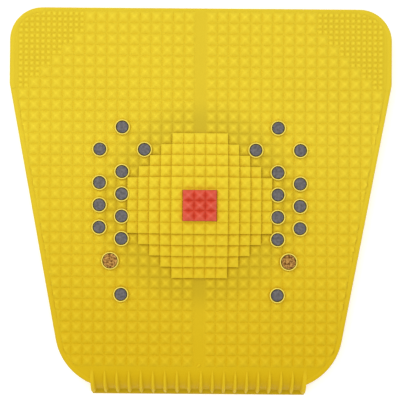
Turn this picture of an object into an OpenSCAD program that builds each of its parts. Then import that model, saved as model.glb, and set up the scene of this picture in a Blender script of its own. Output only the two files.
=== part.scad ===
// Acupressure foot mat: a hollow yellow moulding with a grid of small pyramids, a stepped dome of
// raised pyramids, a red pyramid block on top, disc magnets and copper discs in round bosses, and
// a ribbed apron along the heel edge.
// Frame: origin on the floor under the middle of the mat, +X to the right, +Y to the toe edge, +Z up.
// The modules draw the mat about the centre of its dome; in_frame() moves it to the origin.

/* [Pyramid grid] */
// Pitch of the square pyramid grid
cell = 9.5; // [9.4:0.05:9.6]
// Height of a pyramid above its valleys
pyramid_h = 3; // [2:0.1:4.4]
// Height of a fine pyramid in the two toe corners
fine_h = 1.5; // [1:0.1:2.5]

/* [Plate] */
// Height of the deck, the level of the pyramid valleys
deck_h = 18; // [16:0.5:20]
// Width across the straight toe end
toe_w = 328.3; // [326:0.1:330]
// Length of the parallel sides behind the toe edge
straight_l = 65.5; // [60:0.5:75]
// Taper of each flank towards the heel, in degrees
flank_angle = 10.75; // [10.25:0.05:11]
// Radius of the toe corners
toe_r = 28; // [20:1:35]
// Radius of the heel corners
heel_r = 51; // [48:1:53]
// Wall thickness of the moulding
wall = 2.4; // [2:0.1:2.8]
// Smooth border between the edge and the pyramids
border = 5; // [4.5:0.5:7]

/* [Dome] */
// Height of one step of the dome
step_h = 3; // [2.5:0.1:3.5]
// Distance from a grid line in to the wall of a step
step_inset = 0.7; // [0.4:0.1:1]

/* [Red block] */
// Width of the block
block_w = 28.2; // [26:0.1:28.4]
// Length of the block
block_l = 25.8; // [24:0.1:28.4]
// Height of a pyramid on the block
block_pyramid_h = 4; // [3:0.1:4.5]

/* [Magnets and discs] */
// Diameter of a magnet
magnet_d = 10; // [9:0.1:10.2]
// Thickness of a magnet
magnet_t = 4; // [3:0.1:4.3]
// Diameter of a copper disc
disc_d = 12; // [11:0.1:12.2]
// Thickness of a copper disc without its relief
disc_t = 3.4; // [2:0.1:3.6]
// Radial gap round a magnet or disc in its pocket
pocket_gap = 0.4; // [0.2:0.05:0.5]
// Wall of a boss
boss_wall = 1.1; // [0.8:0.1:1.5]
// Height of a boss above the deck
boss_h = 4.5; // [4.4:0.1:5]

/* [Heel apron] */
// Width of the apron
apron_w = 184.6; // [184:0.2:190]
// Length of the quarter-round from the deck to the lip
apron_run = 22; // [20:0.5:24]
// Thickness of the lip at the foot of the apron
lip_t = 3; // [2:0.1:4]
// Number of ribs across the apron
rib_count = 19; // [5:2:19]
// Spacing of the ribs left of the middle rib
rib_pitch_left = 10.3; // [9.5:0.1:10.3]
// Spacing of the ribs right of the middle rib
rib_pitch_right = 9.8; // [9:0.1:9.8]
// How far the middle rib stands to the right of the middle
rib_shift = 2.2; // [0:0.1:2.2]

/* [Hidden] */
$fn = 64;
overlap = 1;
high = 100;

// The grid: a cell is named by its column and its row, counted from the dome centre, toe rows up
side_columns = 16;
toe_row = 17;
heel_row = -14;
toe_margin = 3.3;
toe_y = (toe_row + 0.5) * cell + toe_margin;
field_heel_y = (heel_row - 0.5) * cell;

// The heel: the lip ends behind the field, the plate a little before it
heel_y = field_heel_y - 27.2;
heel_setback = 8.2;
plate_heel_y = heel_y + heel_setback;

// The fine corners: a staircase of cells split in four
fine_column = 11;
fine_row = 11;
fine_diagonal = 27;

// The dome: an eight-sided stack of steps, one ring of cells to a step
dome_reach = 6;
dome_core = 2;
dome_levels = dome_reach - dome_core + 1;
dome_top = deck_h + dome_levels * step_h;

// The red block stands in a pocket one step deep and rises one step above the dome
block_gap = 0.3;
block_floor = dome_top - step_h;
block_valley = dome_top + step_h;
block_side = 1;
block_count = 2 * block_side + 1;

// Cells that hold a magnet and the cell that holds a copper disc, on the right half of the mat
MAGNETS = [[7, 7], [9, 5], [5, 5], [7, 3], [9, 2], [7, 1], [9, 0], [7, -1], [9, -2], [7, -3], [7, -8]];
DISC = [8, -5];
chamfer = 0.4;

// Relief on a copper disc: a rim, a ring of studs and one stud in the middle
relief_h = 0.5;
relief_rim_w = 0.9;
stud_d = 1.7;
stud_ring_r = 3;
stud_count = 6;

// The apron: a quarter-round that leaves the deck level and meets the lip
apron_start = field_heel_y - 1;
apron_drop = deck_h - lip_t;
apron_r = (apron_run * apron_run + apron_drop * apron_drop) / (2 * apron_drop);
apron_z = deck_h - apron_r;
lip_corner_r = 3;

// The ribs are sharp-edged rings that come out of the apron near its head and end on the lip. They
// curve more than the apron does, so that they swell and fade.
rib_head_run = 1.5;
rib_lip_gap = 1.2;
rib_bulge = 7;
rib_start = [apron_start - rib_head_run, apron_z + sqrt(apron_r * apron_r - rib_head_run * rib_head_run)];
rib_end = [heel_y + rib_lip_gap, lip_t];
rib_chord = rib_end - rib_start;
rib_r = rib_chord * rib_chord / (8 * rib_bulge) + rib_bulge / 2;
rib_inward = [-rib_chord.y, rib_chord.x] / norm(rib_chord);
rib_centre = (rib_start + rib_end) / 2 + (rib_r - rib_bulge) * rib_inward;
rib_depth = 5;
rib_half_w = 2.6;

// The stiffening webs below the deck
web_pitch = 3 * cell;
web_count = 5;
web_t = 1.6;
web_foot = 1.5;

SIDES = ["left", "right"];
NODES = concat(
    ["mat_plate", "red_pyramid_block"],
    [for (side = SIDES) for (k = [1 : len(MAGNETS)]) str("magnet_", side, "_", k)],
    [for (side = SIDES) str("copper_disc_", side)]
);
node = "all";

function is_drawn(name) = node == "all" || node == name;
function side_sign(side) = side == "left" ? -1 : 1;

// ---- Outline of the plate ----

// Corner between the straight side and the flank, on the right, moved in by inset
function bend(inset) =
    [toe_w / 2 - inset, toe_y - straight_l + inset * tan(flank_angle / 2)];

function toe_centre() = [toe_w / 2 - toe_r, toe_y - toe_r];

function heel_centre() =
    let (y = plate_heel_y + heel_r)
    [bend(0).x - heel_r / cos(flank_angle) - (bend(0).y - y) * tan(flank_angle), y];

function heel_tangent(inset) =
    heel_centre() + (heel_r - inset) * [cos(flank_angle), -sin(flank_angle)];

module both_sides() {
    children();
    mirror([1, 0, 0]) children();
}

// The plate seen from above, moved in by inset, and by toe_inset at the toe edge
module outline(inset, toe_inset) {
    right = [
        [toe_centre().x, toe_y - toe_inset],
        toe_centre(),
        [toe_w / 2 - inset, toe_centre().y],
        bend(inset),
        heel_tangent(inset),
        heel_centre(),
        [heel_centre().x, plate_heel_y + inset]
    ];
    left = [for (k = [len(right) - 1 : -1 : 0]) [-right[k].x, right[k].y]];
    polygon(concat(right, left));
    both_sides() {
        translate(toe_centre()) circle(r = toe_r - inset);
        translate(heel_centre()) circle(r = heel_r - inset);
    }
}

// ---- Pyramid fields ----

// Saw-tooth ridges along Y, from column first to column last, with an optional flat middle column
module ridges(first, last, pitch, h, flat_middle) {
    teeth = [for (i = [first : last]) each [
        [(i - 0.5) * pitch, 0],
        [i * pitch, flat_middle && i == 0 ? 0 : h]
    ]];
    left = (first - 0.5) * pitch;
    right = (last + 0.5) * pitch;
    rotate([90, 0, 0])
        translate([0, 0, -2 * high])
            linear_extrude(4 * high)
                polygon(concat([[left, -overlap]], teeth, [[right, 0], [right, -overlap]]));
}

// Pyramids on z = 0 inside a flat shape: two crossed sets of ridges
module pyramids(columns, rows, pitch_x, pitch_y, h, flat_middle = false) {
    intersection() {
        ridges(columns[0], columns[1], pitch_x, h, flat_middle);
        rotate([0, 0, 90]) ridges(rows[0], rows[1], pitch_y, h, false);
        translate([0, 0, -overlap]) linear_extrude(h + 2 * overlap) children();
    }
}

// The staircase of fine cells in the right toe corner
module fine_corner() {
    far = side_columns + 0.5;
    stairs = [for (row = [fine_row : toe_row]) each
        let (left = max(fine_column, fine_diagonal - row) - 0.5)
        [[left, row - 0.5], [left, row + 0.5]]
    ];
    polygon(cell * concat([[far, fine_row - 0.5]], stairs, [[far, toe_row + 0.5]]));
}

module main_field() {
    pyramids([-side_columns, side_columns], [heel_row, toe_row], cell, cell, pyramid_h, true)
        difference() {
            outline(border, toe_margin);
            both_sides() fine_corner();
        }
}

module fine_field() {
    both_sides()
        translate([-cell / 4, -cell / 4, 0])
            pyramids(
                [2 * fine_column, 2 * side_columns + 1],
                [2 * fine_row, 2 * toe_row + 1],
                cell / 2, cell / 2, fine_h
            )
                translate([cell / 4, cell / 4]) intersection() {
                    outline(border, toe_margin);
                    fine_corner();
                }
}

// ---- Dome ----

// The cells of the dome within reach of its centre, moved in by inset
module dome_shape(reach, inset) {
    for (k = [0 : reach - dome_core])
        square([
            (2 * (reach - k) + 1) * cell - 2 * inset,
            (2 * (dome_core + k) + 1) * cell - 2 * inset
        ], center = true);
}

// One step of the dome: a block from below the deck up, with pyramids on it
module dome_step(level) {
    reach = dome_reach + 1 - level;
    translate([0, 0, level * step_h])
        pyramids([-reach, reach], [-reach, reach], cell, cell, pyramid_h)
            dome_shape(reach, step_inset);
    translate([0, 0, -overlap])
        linear_extrude(level * step_h + overlap / 2)
            dome_shape(reach, step_inset);
}

// The hollow under the dome, short of the step that holds the red block
module dome_hollow() {
    for (level = [1 : dome_levels - 1])
        linear_extrude(deck_h + level * step_h - wall)
            dome_shape(dome_reach + 1 - level, step_inset + wall);
}

// ---- Bosses ----

// Puts a child at each magnet cell and each disc cell
module at_magnets() {
    both_sides() for (at = MAGNETS) translate(cell * at) children();
}

module at_discs() {
    both_sides() translate(cell * DISC) children();
}

module bosses() {
    at_magnets() cylinder(d = magnet_d + 2 * (pocket_gap + boss_wall), h = boss_h);
    at_discs() cylinder(d = disc_d + 2 * (pocket_gap + boss_wall), h = boss_h);
}

module pockets() {
    at_magnets() cylinder(d = magnet_d + 2 * pocket_gap, h = high);
    at_discs() cylinder(d = disc_d + 2 * pocket_gap, h = high);
}

// ---- Heel apron ----

// Stands a side view up, with its X along the plate, and extrudes it across the plate
module across(width) {
    translate([-width / 2, 0, 0])
        rotate([90, 0, 90])
            linear_extrude(width) children();
}

// Side view of the quarter-round, moved in by inset
module quarter_round(inset) {
    intersection() {
        translate([apron_start, apron_z]) circle(r = apron_r - inset, $fn = 128);
        translate([apron_start - 2 * apron_run, 0])
            square([2 * apron_run, deck_h - inset]);
    }
}

function rib_x(k) = rib_shift + k * (k < 0 ? rib_pitch_left : rib_pitch_right);

// The ribs: rings with a sharp edge, side by side on an axis that lies along X
module ribs() {
    root_r = rib_r - rib_depth;
    half_row = (rib_count - 1) / 2;
    first = rib_x(-half_row) - rib_half_w;
    last = rib_x(half_row) + rib_half_w;
    edges = [for (k = [-half_row : half_row]) each [
        [root_r, rib_x(k) - rib_half_w],
        [rib_r, rib_x(k)],
        [root_r, rib_x(k) + rib_half_w]
    ]];
    intersection() {
        translate([0, rib_centre.x, rib_centre.y])
            rotate([0, 90, 0])
                rotate_extrude($fn = 128)
                    polygon(concat([[root_r - overlap, first]], edges, [[root_r - overlap, last]]));
        translate([-apron_w / 2, heel_y, lip_t / 2])
            cube([apron_w, field_heel_y - heel_y, high]);
    }
}

module apron() {
    across(apron_w) {
        quarter_round(0);
        translate([apron_start - overlap, 0]) square([2 * overlap, deck_h]);
    }
    linear_extrude(lip_t) {
        translate([-apron_w / 2, heel_y + lip_corner_r])
            square([apron_w, apron_start - heel_y - lip_corner_r]);
        translate([-apron_w / 2 + lip_corner_r, heel_y])
            square([apron_w - 2 * lip_corner_r, 2 * lip_corner_r]);
        both_sides()
            translate([apron_w / 2 - lip_corner_r, heel_y + lip_corner_r])
                circle(r = lip_corner_r);
    }
    ribs();
}

// The flat region that the apron takes from the plate, widened by extra
module apron_window(extra) {
    translate([-apron_w / 2 - extra, heel_y - overlap])
        square([apron_w + 2 * extra, apron_start - heel_y + overlap]);
}

// ---- Underside ----

module hollow() {
    linear_extrude(deck_h - wall)
        difference() {
            outline(wall, wall);
            apron_window(wall);
        }
    across(apron_w - 2 * wall) {
        quarter_round(wall);
        translate([apron_start - overlap, 0]) square([2 * overlap, deck_h - wall]);
    }
    dome_hollow();
}

module webs() {
    for (k = [-web_count : web_count]) {
        translate([k * web_pitch - web_t / 2, -2 * high, web_foot])
            cube([web_t, 4 * high, high]);
        translate([-2 * high, k * web_pitch - web_t / 2, web_foot])
            cube([4 * high, web_t, high]);
    }
}

// ---- Sub-parts ----

module mat_plate() {
    color("gold") difference() {
        union() {
            linear_extrude(deck_h)
                difference() {
                    outline(0, 0);
                    apron_window(0);
                }
            apron();
            translate([0, 0, deck_h]) {
                main_field();
                fine_field();
                bosses();
                for (level = [1 : dome_levels]) dome_step(level);
            }
        }
        difference() {
            translate([0, 0, -overlap]) hollow();
            webs();
        }
        translate([0, 0, deck_h]) pockets();
        translate([0, 0, block_floor])
            linear_extrude(high)
                square([block_w + 2 * block_gap, block_l + 2 * block_gap], center = true);
    }
}

module red_pyramid_block() {
    color("tomato") {
        translate([0, 0, block_floor])
            linear_extrude(block_valley - block_floor)
                square([block_w, block_l], center = true);
        translate([0, 0, block_valley])
            pyramids(
                [-block_side, block_side], [-block_side, block_side],
                block_w / block_count, block_l / block_count, block_pyramid_h
            )
                square([block_w, block_l], center = true);
    }
}

module magnet() {
    color("dimgray") rotate_extrude()
        polygon([
            [0, 0], [magnet_d / 2, 0], [magnet_d / 2, magnet_t - chamfer],
            [magnet_d / 2 - chamfer, magnet_t], [0, magnet_t]
        ]);
}

module copper_disc() {
    color("peru") {
        cylinder(d = disc_d, h = disc_t);
        difference() {
            cylinder(d = disc_d, h = disc_t + relief_h);
            cylinder(d = disc_d - 2 * relief_rim_w, h = high);
        }
        cylinder(d = stud_d, h = disc_t + relief_h);
        for (k = [0 : stud_count - 1])
            rotate([0, 0, k * 360 / stud_count])
                translate([stud_ring_r, 0, 0]) cylinder(d = stud_d, h = disc_t + relief_h);
    }
}

// Moves a child from the dome's centre, where it is drawn, to the origin in the middle of the mat
module in_frame() {
    translate([0, -(toe_y + heel_y) / 2, 0]) children();
}

// Stands a child on the deck in a cell of the given half
module in_cell(at, side) {
    in_frame()
        translate([side_sign(side) * cell * at.x, cell * at.y, deck_h]) children();
}

if (is_drawn("mat_plate")) in_frame() mat_plate();
if (is_drawn("red_pyramid_block")) in_frame() red_pyramid_block();
for (side = SIDES) {
    for (k = [1 : len(MAGNETS)])
        if (is_drawn(str("magnet_", side, "_", k))) in_cell(MAGNETS[k - 1], side) magnet();
    if (is_drawn(str("copper_disc_", side))) in_cell(DISC, side) copper_disc();
}
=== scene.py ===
# Looks of the acupressure foot mat: a moulded yellow plate of small pyramids with a stepped dome,
# a red pyramid block, disc magnets and copper discs in bosses, and a ribbed apron along the heel.
import math

import bmesh
import bpy
import numpy as np
from mathutils import Matrix, Vector


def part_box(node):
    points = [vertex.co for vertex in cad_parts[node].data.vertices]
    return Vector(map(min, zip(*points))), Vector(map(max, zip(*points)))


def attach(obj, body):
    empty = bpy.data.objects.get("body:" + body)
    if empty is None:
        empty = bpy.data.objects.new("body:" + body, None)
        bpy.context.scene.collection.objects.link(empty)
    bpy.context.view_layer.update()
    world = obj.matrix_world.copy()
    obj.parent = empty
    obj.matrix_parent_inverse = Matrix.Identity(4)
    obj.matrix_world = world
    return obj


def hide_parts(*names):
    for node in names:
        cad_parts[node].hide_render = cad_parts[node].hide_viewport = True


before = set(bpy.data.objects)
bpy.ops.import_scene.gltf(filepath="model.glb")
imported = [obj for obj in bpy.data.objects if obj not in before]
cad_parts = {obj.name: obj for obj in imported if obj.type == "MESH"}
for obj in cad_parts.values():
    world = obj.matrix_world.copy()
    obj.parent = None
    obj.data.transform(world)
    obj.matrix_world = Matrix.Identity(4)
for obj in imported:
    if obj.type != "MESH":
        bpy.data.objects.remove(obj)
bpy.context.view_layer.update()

MM = 0.001

# ---- Sizes read from the frame ----

plate_low, plate_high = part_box("mat_plate")
block_low, block_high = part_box("red_pyramid_block")
first_magnet_low, first_magnet_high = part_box("magnet_right_1")

# The field is a grid of square cells, in columns and rows counted from the middle of the dome
FIRST_MAGNET_COLUMN = 7
DOME_LEVELS = 5
CELL = (first_magnet_low.x + first_magnet_high.x) / 2 / FIRST_MAGNET_COLUMN
DECK = first_magnet_low.z
STEP = (block_low.z - DECK) / (DOME_LEVELS - 1)
PYRAMID = plate_high.z - DECK - DOME_LEVELS * STEP
BLOCK_PYRAMID = block_high.z - DECK - (DOME_LEVELS + 1) * STEP
DOME = Vector((0, (block_low.y + block_high.y) / 2, 0))
HALF_WIDTH = plate_high.x

# Everything below is built about the dome's centre and moved to the frame when a piece is finished
TOE_Y = plate_high.y - DOME.y
LIP_Y = plate_low.y - DOME.y

# ---- Sizes of the moulding that the boxes don't give ----

FLANK_ANGLE = math.radians(10.75)
STRAIGHT = 65.5 * MM
TOE_RADIUS = 28 * MM
HEEL_RADIUS = 51 * MM
HEEL_SETBACK = 8.2 * MM
WALL = 2.4 * MM
BORDER = 5 * MM
FINE_PYRAMID = 1.5 * MM
GROOVE = 0.3 * MM

# The last rows and columns of the field
TOE_ROW = 17
HEEL_ROW = -14
SIDE_COLUMNS = 16
FIELD_SIDE_X = (SIDE_COLUMNS + 0.5) * CELL
FIELD_TOE_Y = (TOE_ROW + 0.5) * CELL
FIELD_HEEL_Y = (HEEL_ROW - 0.5) * CELL

# Where the finer pyramids of the toe corners start: a row, a column and their least sum
FINE_ROW = 11
FINE_COLUMN = 11
FINE_DIAGONAL = 27

# The dome's last row, and the last cell in that row
DOME_REACH = 6
DOME_CORE = 2

# The bosses, and the gap round the red block and its rows of pyramids
POCKET_GAP = 0.4 * MM
BOSS_WALL = 1.1 * MM
RIM_WIDTH = 0.95 * MM
BOSS_HEIGHT = 4.5 * MM
BLOCK_GAP = 0.3 * MM
BLOCK_ROWS = 3

# The apron: a quarter-round from the deck down to a lip, with ribs that stand out from it
APRON_HALF = 92.3 * MM
APRON_START = FIELD_HEEL_Y - 1 * MM
APRON_RUN = 22 * MM
LIP_HEIGHT = 3 * MM
APRON_RADIUS = (APRON_RUN**2 + (DECK - LIP_HEIGHT) ** 2) / (2 * (DECK - LIP_HEIGHT))

# The ribs: a rib's crest is an arc that bulges from the line between its head and its foot, and
# the rib is RIB_HALF_WIDTH wide on each side where it is RIB_DEPTH deep
RIB_COUNT = 19
RIB_PITCH_LEFT = 10.3 * MM
RIB_PITCH_RIGHT = 9.8 * MM
RIB_SHIFT = 2.2 * MM
RIB_HEAD_RUN = 1.5 * MM
RIB_LIP_GAP = 1.2 * MM
RIB_BULGE = 7 * MM
RIB_DEPTH = 4.2 * MM
RIB_HALF_WIDTH = 2.1 * MM

# Sample lines across one cell, in cells from its middle: close to the valleys and the tip
COARSE = (-0.5, -0.46, -0.27, -0.1, 0, 0.1, 0.27, 0.46)
FINE = (-0.5, -0.42, -0.34, -0.25, -0.16, -0.08, 0, 0.08, 0.16, 0.25, 0.34, 0.42)

# Where a pyramid's tip is rounded off, as a share of its height
ROUNDED_TIP = 0.93

# Lengths that don't show, and the error allowed in a direction
TINY = 0.01 * MM
HAIR = 5 * TINY
ROUNDING = 1e-9

# Places between these two, in cells from a cell's middle, are moved out to the edge of a step
NEAR_EDGE = 0.4
ON_EDGE = 0.49
LOOK_AHEAD = 0.1

# How much painted light lightens the surface, from 0 to 1, and the share of it in the valleys
FIELD_LIGHT = 0.48
DOME_LIGHT = 0.56
RIB_LIGHT = 1
VALLEY_SHARE = 0.45

# Painted shade on the deck round the dome: how strong, and the radii where it fades out
DOME_SHADE = 0.18
DOME_SHADE_START = (DOME_REACH + 0.5) * CELL + 9 * MM
DOME_SHADE_END = DOME_SHADE_START + 24 * MM

# Painted shade on the lip of the apron, and how far up the quarter-round it reaches
LIP_SHADE = 0.15
LIP_SHADE_RISE = 2.5 * MM


# ---- Outline of the plate ----

BEND = (HALF_WIDTH, TOE_Y - STRAIGHT)
PLATE_HEEL_Y = LIP_Y + HEEL_SETBACK
TOE_CENTRE = (HALF_WIDTH - TOE_RADIUS, TOE_Y - TOE_RADIUS)
HEEL_CENTRE_Y = PLATE_HEEL_Y + HEEL_RADIUS
HEEL_CENTRE = (
    BEND[0] - HEEL_RADIUS / math.cos(FLANK_ANGLE) - (BEND[1] - HEEL_CENTRE_Y) * math.tan(FLANK_ANGLE),
    HEEL_CENTRE_Y,
)


def edge_frame(x, y):
    """How far points lie inside the plate's edge, and the outward direction at each."""
    side = np.abs(x)
    cos, sin = math.cos(FLANK_ANGLE), math.sin(FLANK_ANGLE)
    straight = [
        (HALF_WIDTH - side, 1, 0),
        ((BEND[0] - side) * cos + (y - BEND[1]) * sin, cos, -sin),
        (TOE_Y - y, 0, 1),
        (y - PLATE_HEEL_Y, 0, -1),
    ]
    inside = np.full(np.shape(side), np.inf)
    out_x, out_y = np.zeros_like(inside), np.zeros_like(inside)
    for distance, normal_x, normal_y in straight:
        nearer = distance < inside
        inside = np.where(nearer, distance, inside)
        out_x = np.where(nearer, normal_x, out_x)
        out_y = np.where(nearer, normal_y, out_y)

    from_toe = side - TOE_CENTRE[0], y - TOE_CENTRE[1]
    from_heel = side - HEEL_CENTRE[0], y - HEEL_CENTRE[1]
    corners = [
        (from_toe, TOE_RADIUS, (from_toe[0] > 0) & (from_toe[1] > 0)),
        (from_heel, HEEL_RADIUS, (from_heel[0] > 0) & (-from_heel[0] * sin - from_heel[1] * cos > 0)),
    ]
    for (dx, dy), radius, in_corner in corners:
        reach = np.maximum(np.hypot(dx, dy), TINY)
        inside = np.where(in_corner, radius - reach, inside)
        out_x = np.where(in_corner, dx / reach, out_x)
        out_y = np.where(in_corner, dy / reach, out_y)
    return inside, np.where(x < 0, -out_x, out_x), out_y


def field_inset(out_y):
    """Width of the smooth border, where out_y is the lengthwise part of the outward direction.
    Along the toe the border ends on the field's last row."""
    faces_toe = out_y > 1 - ROUNDING
    return np.where(faces_toe, TOE_Y - FIELD_TOE_Y, BORDER)


# ---- Height of the top surface ----


def ridge(across):
    """Height, from 0 to 1, of a saw-tooth ridge at a distance in pitches from its crest."""
    return np.clip(1 - 2 * np.abs(across - np.round(across)), 0, ROUNDED_TIP)


def dome_level(column, row):
    """Which step of the dome a cell stands on; 0 is the deck."""
    column, row = np.abs(column), np.abs(row)
    by_side = DOME_REACH + 1 - np.maximum(column, row)
    by_corner = DOME_REACH + 1 + DOME_CORE - column - row
    return np.clip(np.minimum(by_side, by_corner), 0, DOME_LEVELS)


def levels_at(x, y):
    """The dome levels that meet at each point."""
    return [
        dome_level(np.round((x + dx) / CELL), np.round((y + dy) / CELL))
        for dx in (-TINY, TINY)
        for dy in (-TINY, TINY)
    ]


def ground(x, y):
    """Height of the valleys; on a line between two cells, the lower one's."""
    return DECK + STEP * np.min(levels_at(x, y), axis=0)


def in_groove(x, y):
    """On the lines between cells of the dome that stand at one level."""
    levels = levels_at(x, y)
    level = np.min(levels, axis=0) == np.max(levels, axis=0)
    on_line = np.minimum(ridge(x / CELL), ridge(y / CELL)) < TINY / CELL
    return level & on_line & (np.min(levels, axis=0) > 0)


def step_edge(place, ground_at):
    """Moves places just inside the edge of a step out to it, so that the dome's walls are upright."""
    cell = np.round(place / CELL)
    offset = place / CELL - cell
    side = np.sign(offset)
    near = (np.abs(offset) > NEAR_EDGE) & (np.abs(offset) < ON_EDGE)
    falls = ground_at(place + LOOK_AHEAD * side * CELL) < ground_at(place) - TINY
    return np.where(near & falls, (cell + side / 2) * CELL - 2 * side * TINY, place)


def boss_circles():
    """The centre and outer radius of each boss, from what sits in it."""
    for name in sorted(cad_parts):
        if name.startswith(("magnet_", "copper_disc_")):
            low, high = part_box(name)
            yield (low + high) / 2 - DOME, (high.x - low.x) / 2 + POCKET_GAP + BOSS_WALL


BOSSES = list(boss_circles())
POCKET_X = (block_high.x - block_low.x) / 2 + BLOCK_GAP
POCKET_Y = (block_high.y - block_low.y) / 2 + BLOCK_GAP


def flat_here(x, y):
    """Where the deck has no pyramids: the middle column, the heel strip and round each boss."""
    on_deck = ground(x, y) < DECK + TINY
    flat = on_deck & (np.abs(x) < CELL / 2)
    flat |= (y < FIELD_HEEL_Y) | (np.abs(x) > FIELD_SIDE_X)
    for centre, radius in BOSSES:
        flat |= np.hypot(x - centre.x, y - centre.y) < radius
    return flat


def main_height(x, y):
    """Height of the top surface everywhere but in the toe corners."""
    pyramid = PYRAMID * np.minimum(ridge(x / CELL), ridge(y / CELL))
    raised = np.where(flat_here(x, y), 0, pyramid)
    z = ground(x, y) + raised - np.where(in_groove(x, y), GROOVE, 0)
    in_pocket = (np.abs(x) < POCKET_X - TINY) & (np.abs(y) < POCKET_Y - TINY)
    return np.where(in_pocket, block_low.z, z)


def fine_height(x, y):
    """Height of the top surface in the toe corners, where each cell holds four finer pyramids."""
    across = (np.abs(x) + CELL / 4) * 2 / CELL
    along = (y + CELL / 4) * 2 / CELL
    pyramid = FINE_PYRAMID * np.minimum(ridge(across), ridge(along))
    return DECK + np.where(np.abs(x) > FIELD_SIDE_X, 0, pyramid)


def is_fine(x, y):
    """True in the cells of the toe corners."""
    column, row = np.abs(np.round(x / CELL)), np.round(y / CELL)
    return (row >= FINE_ROW) & (column >= np.maximum(FINE_COLUMN, FINE_DIAGONAL - row))


# ---- Meshes ----


def cell_lines(first, last, samples):
    """The sample lines of cells first to last, with the line that closes them."""
    lines = [(k + s) * CELL for k in range(first, last + 1) for s in samples]
    return np.array([*lines, (last + 0.5) * CELL])


def with_pocket(lines, half):
    """Adds a pair of lines at each wall of the block's pocket, so that the wall is upright."""
    walls = [sign * (half - step) for sign in (-1, 1) for step in (0, 2 * TINY)]
    return np.sort(np.append(lines, walls))


def with_line(lines, value):
    """Moves the nearest line to value."""
    lines = lines.copy()
    lines[np.argmin(np.abs(lines - value))] = value
    return lines


def add_grid(bm, x, y, z, kept, rising):
    """Adds a grid of points, with two triangles to each kept square, split along its rising or
    falling diagonal. Gives back the points by row and column."""
    rows, columns = x.shape
    verts = {}

    def vert(row, column):
        key = (row, column)
        if key not in verts:
            verts[key] = bm.verts.new((x[key], y[key], z[key]))
        return verts[key]

    for row in range(rows - 1):
        for column in np.nonzero(kept[row])[0]:
            a, b = vert(row, column), vert(row, column + 1)
            c, d = vert(row + 1, column + 1), vert(row + 1, column)
            if rising[row, column]:
                bm.faces.new((a, b, c))
                bm.faces.new((a, c, d))
            else:
                bm.faces.new((a, b, d))
                bm.faces.new((b, c, d))
    return verts


def painted_light_at(x, y, z):
    """How much painted light lightens the surface: tips more than valleys, the dome more than the
    deck, the flat deck not at all. The lines at the dome's steps get the full painted light."""
    floor = ground(x, y)
    by_step = np.max(levels_at(x, y), axis=0) > np.min(levels_at(x, y), axis=0)
    field = np.where(flat_here(x, y), 0, FIELD_LIGHT)
    tip = np.maximum(z - floor, 0) / PYRAMID
    main = np.where(floor > DECK + TINY, DOME_LIGHT, field) * (VALLEY_SHARE + tip)
    fine = ((z - DECK) / FINE_PYRAMID) ** 2
    return np.where(by_step, 1, np.where(is_fine(x, y), fine, main))


def painted_shade_at(x, y, z):
    """How much painted shade darkens the deck: most in the valleys at the foot of the dome, none on
    the tips.
    """
    fade = np.clip((DOME_SHADE_END - np.hypot(x, y)) / (DOME_SHADE_END - DOME_SHADE_START), 0, 1)
    valley = np.clip(1 - (z - DECK) / PYRAMID, 0, 1)
    # Painted shade: the deck's valleys darken towards the dome's foot
    return np.where(ground(x, y) > DECK + TINY, 0, DOME_SHADE * valley * fade**2 * (3 - 2 * fade))


def add_sheet(bm, xs, ys, height_at, is_kept):
    """Adds the top surface over the lines xs and ys, ending on the field's rounded outline."""
    x, y = np.meshgrid(xs, ys)
    z = height_at(x, y)
    inside, out_x, out_y = edge_frame(x, y)
    short = field_inset(out_y) - inside
    outside = short > TINY
    moved_x = np.where(outside, x - out_x * short, step_edge(x, lambda moved: ground(moved, y)))
    moved_y = np.where(outside, y - out_y * short, step_edge(y, lambda moved: ground(x, moved)))
    z = np.where(outside, DECK, z)

    middle_x, middle_y = np.meshgrid((xs[:-1] + xs[1:]) / 2, (ys[:-1] + ys[1:]) / 2)
    all_outside = outside[:-1, :-1] & outside[1:, :-1] & outside[:-1, 1:] & outside[1:, 1:]
    across = middle_x / CELL - np.round(middle_x / CELL)
    along = middle_y / CELL - np.round(middle_y / CELL)
    kept = ~all_outside & is_kept(middle_x, middle_y)
    verts = add_grid(bm, moved_x, moved_y, z, kept, across * along > 0)
    # Painted light and painted shade are kept on the points for the material
    for name, values in (("painted_light", painted_light_at(x, y, z)), ("painted_shade", painted_shade_at(x, y, z))):
        layer = bm.verts.layers.float[name]
        for key, vert in verts.items():
            vert[layer] = values[key]


# The edge of the plate, from the field outwards and down: inset from the edge and height over
# the deck, in millimetres
EDGE_PROFILE = (
    (4.9, 0),
    (4.6, -0.15),
    (4.3, -0.15),
    (4.0, 0),
    (1.6, 0),
    (1.0, -0.12),
    (0.55, -0.35),
    (0.22, -0.7),
    (0.05, -1.15),
    (0, -1.7),
    (0, 0.6 - DECK / MM),
    (0.2, -DECK / MM),
)


def heel_corner_y(side, inset):
    """Where the heel corner's edge, drawn in by inset, crosses the lengthwise line at side."""
    reach = HEEL_RADIUS - inset
    return HEEL_CENTRE[1] - math.sqrt(reach**2 - (side - HEEL_CENTRE[0]) ** 2)


def edge_chain(bm, vert):
    """The points of the edge profile that start at a point of the sheet's outline; none for a point
    that isn't on the outline. The chains nearest the apron lie flush on its sides."""
    x, y = vert.co.x, vert.co.y
    inside, out_x, out_y = (float(a) for a in edge_frame(x, y))
    if abs(inside - float(field_inset(out_y))) > HAIR:
        return []
    at_apron = abs(x) < APRON_HALF and y < FIELD_HEEL_Y
    side = math.copysign(APRON_HALF, x)
    if at_apron:
        vert.co = (side, heel_corner_y(APRON_HALF, inside), DECK)
    chain = [vert]
    for inset, height in EDGE_PROFILE:
        move = max(0, inside - inset * MM)
        drop = height * MM if move > 0 else 0
        place = (x + out_x * move, y + out_y * move)
        if at_apron:
            place = (side, heel_corner_y(APRON_HALF, inside - move))
        chain.append(bm.verts.new((*place, DECK + drop)))
    return chain


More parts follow.
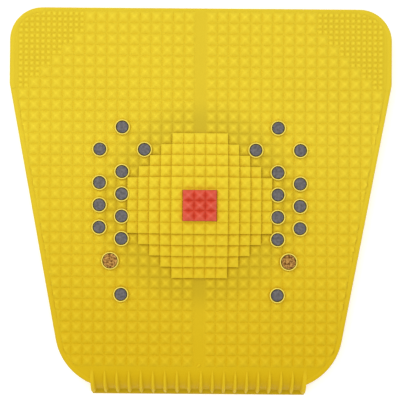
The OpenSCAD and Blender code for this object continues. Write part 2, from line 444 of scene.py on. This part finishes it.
def add_skirt(bm):
    """Runs the edge profile round the outer boundary of the sheet."""
    boundary = [e for e in bm.edges if e.is_boundary]
    chains = {}
    for vert in dict.fromkeys(v for e in boundary for v in e.verts):
        chain = edge_chain(bm, vert)
        if chain:
            chains[vert] = chain
    for edge in boundary:
        if edge.verts[0] in chains and edge.verts[1] in chains:
            loop = edge.link_loops[0]
            first, second = chains[loop.vert], chains[loop.link_loop_next.vert]
            for k in range(len(EDGE_PROFILE)):
                bm.faces.new((second[k], first[k], first[k + 1], second[k + 1]))


def add_lathe(bm, centre, profile, segments):
    """Turns a profile of (radius, height) points about the upright line through centre."""
    rings = []
    for radius, height in profile:
        ring = []
        for k in range(segments):
            angle = 2 * math.pi * k / segments
            offset = Vector((radius * math.cos(angle), radius * math.sin(angle), height))
            ring.append(bm.verts.new(centre + offset))
        rings.append(ring)
    for low, high in zip(rings, rings[1:]):
        for k in range(segments):
            m = (k + 1) % segments
            bm.faces.new((low[k], low[m], high[m], high[k]))
    return rings


# The rings of a boss's profile that lie on its rounded rim
RIM_RINGS = slice(2, 6)
BOSS_SIDES = 40


def boss_profile(outer):
    """Up the outside of a boss, over its rounded rim and down the inside."""
    inner = outer - RIM_WIDTH
    top = BOSS_HEIGHT
    return [
        (outer + 0.15 * MM, -0.3 * MM),
        (outer, top - 0.6 * MM),
        (outer - 0.12 * MM, top - 0.18 * MM),
        (outer - 0.4 * MM, top),
        (inner + 0.3 * MM, top),
        (inner + 0.08 * MM, top - 0.12 * MM),
        (inner, top - 0.4 * MM),
        (inner, -0.1 * MM),
    ]


def add_bosses(bm):
    painted_highlight = bm.verts.layers.float["painted_highlight"]
    for centre, outer in BOSSES:
        rings = add_lathe(bm, Vector((centre.x, centre.y, DECK)), boss_profile(outer), BOSS_SIDES)
        # The rounded rim gets a painted highlight
        for vert in (v for ring in rings[RIM_RINGS] for v in ring):
            vert[painted_highlight] = 1


# The nub that the moulding gate left: radius and height, in millimetres, and its place
NUB_PROFILE = ((1.7, 0), (1.5, 0.35), (1.0, 0.75), (0.4, 0.95), (0.01, 1))
NUB_PLACE = Vector((0, FIELD_HEEL_Y + 1.2 * MM, DECK))
NUB_SIDES = 20


def add_nub(bm):
    add_lathe(bm, NUB_PLACE, [(radius * MM, height * MM) for radius, height in NUB_PROFILE], NUB_SIDES)


# ---- Heel apron ----

# Places across a rib in half widths, and the share of its depth there
CREST_SHARE = 0.85
RIB_SIDE = ((0.2, CREST_SHARE), (0.5, 0.7), (0.8, 0.4), (1.05, 0.07), (1.3, 0))
RIB_SECTION = (*((-across, share) for across, share in reversed(RIB_SIDE)), *RIB_SIDE)

# The lip from the quarter-round's foot down: inset from its end and height, in millimetres
LIP_PROFILE = ((0.9, 2.5), (0.4, 2.2), (0.1, 1.7), (0, 1.2), (0, 0.1), (0.1, 0))
APRON_STEPS = 24


def rib_reach(angle):
    """How far the rib crests stand out from the quarter-round at an angle down it."""
    centre = Vector((APRON_START, DECK - APRON_RADIUS))
    drop = APRON_RADIUS - math.sqrt(APRON_RADIUS**2 - RIB_HEAD_RUN**2)
    start = Vector((APRON_START - RIB_HEAD_RUN, DECK - drop))
    end = Vector((LIP_Y + RIB_LIP_GAP, LIP_HEIGHT))
    chord = end - start
    radius = chord.length_squared / (8 * RIB_BULGE) + RIB_BULGE / 2
    inward = Vector((-chord.y, chord.x)).normalized()
    to_ring = (start + end) / 2 + (radius - RIB_BULGE) * inward - centre
    along = to_ring.dot(Vector((-math.sin(angle), math.cos(angle))))
    crest = along + math.sqrt(max(0, radius**2 - to_ring.length_squared + along**2))
    return max(0, crest - APRON_RADIUS)


def apron_places(half):
    """Places across the apron, with the share of the ribs' depth there, for a rib's half width.
    The outermost ribs run on to the apron's sides."""
    last = RIB_COUNT // 2
    places = [(-APRON_HALF, CREST_SHARE)]
    for k in range(-last, last + 1):
        middle = RIB_SHIFT + k * (RIB_PITCH_LEFT if k < 0 else RIB_PITCH_RIGHT)
        for across, share in RIB_SECTION:
            beyond_last = abs(k) == last and k * across > 0
            x = max(-APRON_HALF, min(APRON_HALF, middle + across * half))
            places.append((x, CREST_SHARE if beyond_last else share))
    places.append((APRON_HALF, CREST_SHARE))
    return places


def apron_row(bm, angle):
    """Points across the apron at an angle down its quarter-round, with the ribs standing out."""
    painted_light, painted_shade = (bm.verts.layers.float[name] for name in ("painted_light", "painted_shade"))
    depth = rib_reach(angle)
    half = max(RIB_HALF_WIDTH * math.sqrt(depth / RIB_DEPTH), HAIR)
    row = []
    for x, share in apron_places(half):
        reach = APRON_RADIUS + depth * share
        y = APRON_START - reach * math.sin(angle)
        z = DECK - APRON_RADIUS + reach * math.cos(angle)
        vert = bm.verts.new((x, y, max(z, LIP_HEIGHT)))
        # The rib crests get painted light, more where the ribs stand out further
        crest_lit = min(1, 2 * depth / RIB_DEPTH)
        vert[painted_light] = RIB_LIGHT * share * crest_lit
        # Painted shade darkens the quarter-round towards the lip
        vert[painted_shade] = LIP_SHADE * max(0, 1 - (vert.co.z - LIP_HEIGHT) / LIP_SHADE_RISE)
        row.append(vert)
    return row


def lip_row(bm, places, inset, height):
    """Points across the lip at the given places, all with the same painted shade."""
    painted_shade = bm.verts.layers.float["painted_shade"]
    row = [bm.verts.new((x, LIP_Y + inset * MM, height * MM)) for x in places]
    for vert in row:
        vert[painted_shade] = LIP_SHADE
    return row


def close_apron_side(bm, edge):
    """Closes the apron's side under its edge, and the gap from there to the plate's border."""
    foot = Vector((edge[0].x, edge[0].y, 0))
    bm.faces.new([bm.verts.new(place) for place in (*edge, foot)])
    near, far = FIELD_HEEL_Y, PLATE_HEEL_Y + BORDER
    corners = [(near, 0), (near, DECK), (far, DECK), (far, 0)]
    bm.faces.new([bm.verts.new((foot.x, y, z)) for y, z in corners])


def add_apron(bm):
    end_angle = math.asin(APRON_RUN / APRON_RADIUS)
    rows = [apron_row(bm, end_angle * k / APRON_STEPS) for k in range(APRON_STEPS + 1)]
    places = [v.co.x for v in rows[0]]
    rows.insert(0, [bm.verts.new((x, FIELD_HEEL_Y, DECK)) for x in places])
    rows.extend(lip_row(bm, places, inset, height) for inset, height in LIP_PROFILE)
    for high, low in zip(rows, rows[1:]):
        for k in range(len(places) - 1):
            bm.faces.new((high[k + 1], high[k], low[k], low[k + 1]))
    for column in (0, -1):
        close_apron_side(bm, [row[column].co.copy() for row in rows])


# ---- Underside ----

# The greatest upright part of a wall's normal, and the least downward part of a ceiling's
WALL_TILT = 0.05
CEILING_TILT = 0.5


def is_underside(normal, centre):
    """True for a face of the CAD plate that is only seen from below."""
    if centre.z < TINY:
        return True
    roof = DECK - WALL + TINY
    inside = float(edge_frame(centre.x, centre.y)[0])
    if centre.z < roof:
        return normal.z < WALL_TILT and inside > WALL / 2
    in_dome = dome_level(np.round(centre.x / CELL), np.round(centre.y / CELL)) > 0
    below_block = centre.z < block_low.z - WALL + TINY
    inward = normal.x * centre.x + normal.y * centre.y < 0
    inner_wall = abs(normal.z) < WALL_TILT and inward
    return bool(in_dome) and below_block and (normal.z < -CEILING_TILT or inner_wall)


def add_underside(bm):
    """Copies the hollow underside of the CAD plate."""
    source = bmesh.new()
    source.from_mesh(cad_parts["mat_plate"].data)
    copies = {}
    for face in source.faces:
        if is_underside(face.normal, face.calc_center_median() - DOME):
            for vert in face.verts:
                if vert not in copies:
                    copies[vert] = bm.verts.new(vert.co - DOME)
            bm.faces.new([copies[v] for v in face.verts])
    source.free()


# ---- Pieces ----

SHARP_ANGLE = math.radians(60)

# The sample lines of the flat heel strip: how far past the field's outline they start, and how many
HEEL_OVERLAP = 2 * MM
HEEL_LINES = 8


def finish_piece(name, bm, material, nodes):
    """Makes a piece in the frame's own place, smooth but for its sharp edges, that replaces nodes."""
    mesh = bpy.data.meshes.new(name)
    bm.to_mesh(mesh)
    bm.free()
    mesh.transform(Matrix.Translation(DOME))
    mesh.shade_smooth()
    mesh.set_sharp_from_angle(angle=SHARP_ANGLE)
    mesh.materials.append(material)
    piece = bpy.data.objects.new(name, mesh)
    bpy.context.scene.collection.objects.link(piece)
    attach(piece, "root")
    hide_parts(*nodes)


def clears_apron(x, y):
    """True off the head of the apron, which the apron's own mesh covers."""
    return (np.abs(x) > APRON_HALF) | (y > FIELD_HEEL_Y)


def add_top(bm):
    """Adds the top surface in sheets: the main field, the two toe corners and the heel strip."""
    last = SIDE_COLUMNS + 1
    xs = with_pocket(cell_lines(-last, last, COARSE), POCKET_X)
    xs = with_line(with_line(xs, APRON_HALF), -APRON_HALF)
    ys = with_pocket(cell_lines(HEEL_ROW, TOE_ROW, COARSE), POCKET_Y)
    add_sheet(bm, xs, ys, main_height, lambda x, y: ~is_fine(x, y))

    fine_xs = cell_lines(FINE_COLUMN, last, FINE)
    fine_ys = cell_lines(FINE_ROW, TOE_ROW, FINE)
    for lines in (fine_xs, -fine_xs[::-1]):
        add_sheet(bm, lines, fine_ys, fine_height, is_fine)

    heel_ys = np.linspace(PLATE_HEEL_Y + BORDER - HEEL_OVERLAP, FIELD_HEEL_Y, HEEL_LINES)
    add_sheet(bm, xs, heel_ys, main_height, clears_apron)
    bmesh.ops.remove_doubles(bm, verts=bm.verts, dist=TINY / 2)
    bmesh.ops.dissolve_degenerate(bm, edges=bm.edges, dist=TINY / 2)


def make_plate(material):
    """The yellow moulding, with what its material needs to know kept on its points."""
    bm = bmesh.new()
    # Painted highlight, painted light and painted shade, kept on the points for the material
    for layer in ("painted_highlight", "painted_light", "painted_shade"):
        bm.verts.layers.float.new(layer)
    add_top(bm)
    add_skirt(bm)
    bmesh.ops.remove_doubles(bm, verts=bm.verts, dist=TINY / 2)
    add_apron(bm)
    add_bosses(bm)
    add_nub(bm)
    add_underside(bm)
    finish_piece("plate_moulding", bm, material, ["mat_plate"])


def make_block(material):
    """The red block: pyramids, as many rows as columns, on a box that is open below."""
    bm = bmesh.new()
    last = BLOCK_ROWS // 2
    samples = np.array([k + s for k in range(-last, last + 1) for s in COARSE] + [last + 0.5])
    pitch_x = (block_high.x - block_low.x) / BLOCK_ROWS
    pitch_y = (block_high.y - block_low.y) / BLOCK_ROWS
    x, y = np.meshgrid(samples * pitch_x, samples * pitch_y)
    pyramid = BLOCK_PYRAMID * np.minimum(ridge(x / pitch_x), ridge(y / pitch_y))
    height = block_high.z - BLOCK_PYRAMID + pyramid
    middle = (samples[:-1] + samples[1:]) / 2
    across, along = np.meshgrid(middle - np.round(middle), middle - np.round(middle))
    add_grid(bm, x, y, height, np.ones(across.shape, bool), across * along > 0)
    rim = [e for e in bm.edges if e.is_boundary]
    made = bmesh.ops.extrude_edge_only(bm, edges=rim)
    for vert in (v for v in made["geom"] if isinstance(v, bmesh.types.BMVert)):
        vert.co.z = block_low.z
    bmesh.ops.recalc_face_normals(bm, faces=bm.faces)
    finish_piece("red_block_moulding", bm, material, ["red_pyramid_block"])


# ---- Materials ----

# Colours, in linear light
YELLOW_DARKER = (0.65, 0.468, 0.004)
YELLOW_LIGHTER = (0.69, 0.508, 0.006)
# Painted shade in the valleys and a painted highlight on the crests
YELLOW_VALLEY_SHADE = (0.66, 0.455, 0.004)
# Painted light on the tips, the dome, the step lines and the rib crests
YELLOW_LIT = (0.80, 0.605, 0.020)
YELLOW_CREST_HIGHLIGHT = (0.88, 0.69, 0.02)
# Painted shade towards the heel and painted light towards the toe
YELLOW_HEEL_SHADE = (0.58, 0.33, 0.0)
YELLOW_TOE_LIGHT = (0.8, 0.85, 0.55)
# The painted highlight on the boss rims
RIM_HIGHLIGHT = (0.87, 0.71, 0.12)
# The colour of the painted shade round the dome's foot and on the apron's lip
SHADE_TONE = (0.05, 0.035, 0.002)
SPECK = (0.38, 0.19, 0.03)
RED_DARKER = (0.60, 0.055, 0.021)
RED_LIGHTER = (0.66, 0.068, 0.028)
# Painted highlight on the red crests and painted shade in its valleys
RED_CREST_HIGHLIGHT = (0.78, 0.14, 0.09)
RED_VALLEY_SHADE = (0.42, 0.02, 0.01)
FERRITE_DARKER = (0.055, 0.051, 0.053)
FERRITE_LIGHTER = (0.13, 0.121, 0.124)
FERRITE_PIT = (0.05, 0.05, 0.055)
COPPER_CLEAN = (0.47, 0.255, 0.07)
COPPER_TARNISH = (0.12, 0.05, 0.01)
PAPER_DARKER = (0.89, 0.89, 0.89)
PAPER_LIGHTER = (0.91, 0.91, 0.91)

# Blender's Pointiness on a flat surface, and where crests have their full painted highlight and
# valleys their full painted shade
FLAT = 0.5
YELLOW_SHARP = 0.66
RED_SHARP = 0.62
HOLLOW = 0.40

# Shares of one colour in a mix with another
GRAIN_SHARE = 0.35
HEEL_SHADE_SHARE = 0.5
TOE_LIGHT_SHARE = 0.03


class Finish:
    """A node material with one Principled shader and the textures that feed it, in metres."""

    # The Mix node's sockets for colours: factor, first and second colour, and the result
    MIX_INPUTS = (0, 6, 7)
    MIX_RESULT = 2

    def __init__(self, name, **constants):
        self.material = bpy.data.materials.new(name)
        self.material.use_nodes = True
        self.nodes = self.material.node_tree.nodes
        self.links = self.material.node_tree.links
        self.shader = self.nodes["Principled BSDF"]
        self.place = self.nodes.new("ShaderNodeTexCoord").outputs["Object"]
        for socket, value in constants.items():
            self.shader.inputs[socket.replace("_", " ")].default_value = value

    def noise(self, size, detail):
        """Noise whose features are about size metres across."""
        node = self.nodes.new("ShaderNodeTexNoise")
        node.inputs["Scale"].default_value = 1 / size
        node.inputs["Detail"].default_value = detail
        self.links.new(self.place, node.inputs["Vector"])
        return node.outputs["Fac"]

    def clouds(self, source, darker, lighter, spread=0.2):
        """Turns noise into patches of two colours; the less the spread, the harder their edges."""
        node = self.nodes.new("ShaderNodeValToRGB")
        stops = ((0.5 - spread, darker), (0.5 + spread, lighter))
        for element, (position, colour) in zip(node.color_ramp.elements, stops):
            element.position = position
            element.color = (*colour, 1)
        self.links.new(source, node.inputs["Fac"])
        return node.outputs["Color"]

    def spots(self, spacing, radius, share):
        """A mask of round spots, one in each chosen cell of the given spacing."""
        cells = self.nodes.new("ShaderNodeTexVoronoi")
        cells.inputs["Scale"].default_value = 1 / spacing
        self.links.new(self.place, cells.inputs["Vector"])
        near = self.calculate("LESS_THAN", cells.outputs["Distance"], radius / spacing)
        drawn = self.nodes.new("ShaderNodeSeparateColor")
        self.links.new(cells.outputs["Color"], drawn.inputs["Color"])
        chosen = self.calculate("LESS_THAN", drawn.outputs["Red"], share)
        return self.calculate("MULTIPLY", near, chosen)

    def painted(self, name):
        """A value from 0 to 1 kept on the mesh's points."""
        node = self.nodes.new("ShaderNodeAttribute")
        node.attribute_name = name
        return node.outputs["Fac"]

    def along_y(self, start, end):
        """From 0 to 1 between two places along the piece."""
        place = self.nodes.new("ShaderNodeSeparateXYZ")
        self.links.new(self.place, place.inputs["Vector"])
        return self.remap(place.outputs["Y"], From_Min=start, From_Max=end)

    def edges(self, full):
        """From 0 on a flat surface to 1 where the Pointiness is full: on a crest or in a valley."""
        geometry = self.nodes.new("ShaderNodeNewGeometry")
        return self.remap(geometry.outputs["Pointiness"], From_Min=FLAT, From_Max=full)

    def remap(self, source, **limits):
        """Stretches a value from one range to another; each limit is named as on the node."""
        node = self.nodes.new("ShaderNodeMapRange")
        for socket, value in limits.items():
            node.inputs[socket.replace("_", " ")].default_value = value
        self.links.new(source, node.inputs["Value"])
        return node.outputs["Result"]

    def calculate(self, operation, *terms):
        """One operation on two terms, each a socket or a number."""
        node = self.nodes.new("ShaderNodeMath")
        node.operation = operation
        for socket, term in zip(node.inputs, terms):
            self.feed(socket, term)
        return node.outputs["Value"]

    def feed(self, socket, value):
        """Puts another socket's value, a plain colour or a number into a socket."""
        if isinstance(value, bpy.types.NodeSocket):
            self.links.new(value, socket)
        elif isinstance(value, tuple):
            socket.default_value = (*value, 1)
        else:
            socket.default_value = value

    def mix(self, factor, first, second):
        """Blends two colours, each a socket or a plain colour, by a socket or a number."""
        node = self.nodes.new("ShaderNodeMix")
        node.data_type = "RGBA"
        for socket, value in zip(self.MIX_INPUTS, (factor, first, second)):
            self.feed(node.inputs[socket], value)
        return node.outputs[self.MIX_RESULT]

    def colour(self, source):
        self.links.new(source, self.shader.inputs["Base Color"])

    def roughness(self, source, low, high):
        self.links.new(self.remap(source, To_Min=low, To_Max=high), self.shader.inputs["Roughness"])

    def bump(self, source, strength, depth):
        node = self.nodes.new("ShaderNodeBump")
        node.inputs["Strength"].default_value = strength
        node.inputs["Distance"].default_value = depth
        self.links.new(source, node.inputs["Height"])
        self.links.new(node.outputs["Normal"], self.shader.inputs["Normal"])


def yellow_plastic():
    """Satin yellow moulding: cloudy pigment, fine grain and a few dirt specks; painted shade in the
    valleys, round the dome, on the lip and towards the heel, painted light on tips, crests, rims and
    the toe."""
    finish = Finish("yellow_plastic", IOR=1.15)
    cloud = finish.clouds(finish.noise(45 * MM, 3), YELLOW_DARKER, YELLOW_LIGHTER)
    grain = finish.clouds(finish.noise(1.2 * MM, 4), YELLOW_DARKER, YELLOW_LIGHTER)
    body = finish.mix(GRAIN_SHARE, cloud, grain)
    # Painted shade in the valleys and creases
    body = finish.mix(finish.edges(HOLLOW), body, YELLOW_VALLEY_SHADE)
    # Painted light, most on the tips, the dome, the step lines and the rib crests
    body = finish.mix(finish.painted("painted_light"), body, YELLOW_LIT)
    # Painted highlight on the crests and ridges
    body = finish.mix(finish.edges(YELLOW_SHARP), body, YELLOW_CREST_HIGHLIGHT)
    # Painted light: lighter towards the toe, deeper orange in painted shade towards the heel
    heel_shaded = finish.mix(HEEL_SHADE_SHARE, body, YELLOW_HEEL_SHADE)
    toe_lit = finish.mix(TOE_LIGHT_SHARE, body, YELLOW_TOE_LIGHT)
    body = finish.mix(finish.along_y(plate_low.y, plate_high.y / 3), heel_shaded, toe_lit)
    # Painted shade round the dome's foot and on the apron's lip
    body = finish.mix(finish.painted("painted_shade"), body, SHADE_TONE)
    # Painted highlight on the boss rims
    body = finish.mix(finish.painted("painted_highlight"), body, RIM_HIGHLIGHT)
    body = finish.mix(finish.spots(spacing=26 * MM, radius=0.8 * MM, share=0.12), body, SPECK)
    finish.colour(body)
    finish.roughness(finish.noise(6 * MM, 3), 0.38, 0.52)
    finish.bump(finish.noise(0.9 * MM, 3), 0.15, 0.05 * MM)
    return finish.material


def red_plastic():
    """Satin red moulding, with a painted highlight on its crests and painted shade in its valleys."""
    finish = Finish("red_plastic", Specular_IOR_Level=0.35)
    cloud = finish.clouds(finish.noise(9 * MM, 3), RED_DARKER, RED_LIGHTER)
    # Painted highlight on the crests, painted shade in the valleys
    body = finish.mix(finish.edges(RED_SHARP), cloud, RED_CREST_HIGHLIGHT)
    finish.colour(finish.mix(finish.edges(HOLLOW), body, RED_VALLEY_SHADE))
    finish.roughness(finish.noise(3 * MM, 3), 0.36, 0.5)
    finish.bump(finish.noise(0.8 * MM, 3), 0.2, 0.05 * MM)
    return finish.material


def ferrite():
    """Ground sintered ferrite: mottled grey, with small darker pits."""
    finish = Finish("ferrite", Specular_IOR_Level=0.5)
    body = finish.clouds(finish.noise(2.2 * MM, 4), FERRITE_DARKER, FERRITE_LIGHTER, spread=0.15)
    pits = finish.spots(spacing=1.6 * MM, radius=0.25 * MM, share=0.5)
    finish.colour(finish.mix(pits, body, FERRITE_PIT))
    finish.roughness(finish.noise(1.5 * MM, 4), 0.42, 0.68)
    finish.bump(finish.noise(0.5 * MM, 4), 0.4, 0.06 * MM)
    return finish.material


def copper():
    """Dull copper with brown tarnish in patches."""
    finish = Finish("copper", Metallic=1.0)
    finish.colour(finish.clouds(finish.noise(1.8 * MM, 4), COPPER_TARNISH, COPPER_CLEAN, spread=0.12))
    finish.roughness(finish.noise(2 * MM, 4), 0.32, 0.6)
    finish.bump(finish.noise(0.7 * MM, 4), 0.35, 0.08 * MM)
    return finish.material


def dress_nodes(prefix, material):
    """Gives the CAD nodes whose names start with prefix a material."""
    for name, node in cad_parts.items():
        if name.startswith(prefix):
            node.data.materials.clear()
            node.data.materials.append(material)


# ---- Stage, light and camera ----

# The floor, in metres, and the strength of its own light
FLOOR_HALF = 4
FLOOR_DROP = 0.2 * MM
FLOOR_GLOW = 0.25

# Across a lamp, in metres
LAMP_SIZE = 0.7

# The camera; its lens and sensor are in millimetres
CAMERA_PLACE = DOME + Vector((0.2 * MM, -1.9 * MM, DECK + 650 * MM))
CAMERA_TILT = math.radians(0.59)
CAMERA_ROLL = math.radians(0.445)
CAMERA_LENS = 68.34
SENSOR_WIDTH = 36


def make_floor():
    """White paper under the mat, wide enough to fill the picture; it glows a little, to stay white."""
    bm = bmesh.new()
    corners = ((-1, -1), (1, -1), (1, 1), (-1, 1))
    bm.faces.new([bm.verts.new((x * FLOOR_HALF, y * FLOOR_HALF, -FLOOR_DROP)) for x, y in corners])
    mesh = bpy.data.meshes.new("floor")
    bm.to_mesh(mesh)
    bm.free()
    floor = bpy.data.objects.new("floor", mesh)
    bpy.context.scene.collection.objects.link(floor)
    finish = Finish("floor_paper", Specular_IOR_Level=0.1, Roughness=0.9)
    finish.shader.inputs["Emission Color"].default_value = (1, 1, 1, 1)
    finish.shader.inputs["Emission Strength"].default_value = FLOOR_GLOW
    finish.colour(finish.clouds(finish.noise(400 * MM, 2), PAPER_DARKER, PAPER_LIGHTER))
    mesh.materials.append(finish.material)


def make_light(name, place, watts):
    """A round lamp that faces the frame's origin."""
    data = bpy.data.lights.new(name, "AREA")
    data.shape = "DISK"
    data.size = LAMP_SIZE
    data.energy = watts
    light = bpy.data.objects.new(name, data)
    light.location = place
    light.rotation_mode = "QUATERNION"
    light.rotation_quaternion = (Vector((0, 0, 0)) - Vector(place)).to_track_quat("-Z", "Y")
    bpy.context.scene.collection.objects.link(light)


def make_world(horizon, zenith):
    """A white sky, brighter overhead than at the horizon."""
    world = bpy.data.worlds.new("studio")
    world.use_nodes = True
    nodes, links = world.node_tree.nodes, world.node_tree.links
    direction = nodes.new("ShaderNodeSeparateXYZ")
    links.new(nodes.new("ShaderNodeTexCoord").outputs["Generated"], direction.inputs["Vector"])
    strength = nodes.new("ShaderNodeMapRange")
    strength.inputs["To Min"].default_value = horizon
    strength.inputs["To Max"].default_value = zenith
    links.new(direction.outputs["Z"], strength.inputs["Value"])
    background = nodes["Background"]
    background.inputs["Color"].default_value = (1, 1, 1, 1)
    links.new(strength.outputs["Result"], background.inputs["Strength"])
    bpy.context.scene.world = world


def make_camera():
    """Looks almost straight down on the dome."""
    data = bpy.data.cameras.new("camera")
    data.lens = CAMERA_LENS
    data.sensor_width = SENSOR_WIDTH
    camera = bpy.data.objects.new("camera", data)
    tilt = Matrix.Rotation(CAMERA_TILT, 4, "X")
    roll = Matrix.Rotation(CAMERA_ROLL, 4, "Z")
    camera.matrix_world = Matrix.Translation(CAMERA_PLACE) @ tilt @ roll
    bpy.context.scene.collection.objects.link(camera)
    bpy.context.scene.camera = camera


bpy.context.scene.view_settings.view_transform = "Standard"
make_camera()
make_world(horizon=0.70, zenith=0.885)
make_light("overhead", place=(-0.07, 0.06, 0.65), watts=1.45)
make_light("side", place=(-0.45, 0.7, 1.1), watts=1.5)
make_floor()

make_plate(yellow_plastic())
make_block(red_plastic())
dress_nodes("magnet_", ferrite())
dress_nodes("copper_disc_", copper())
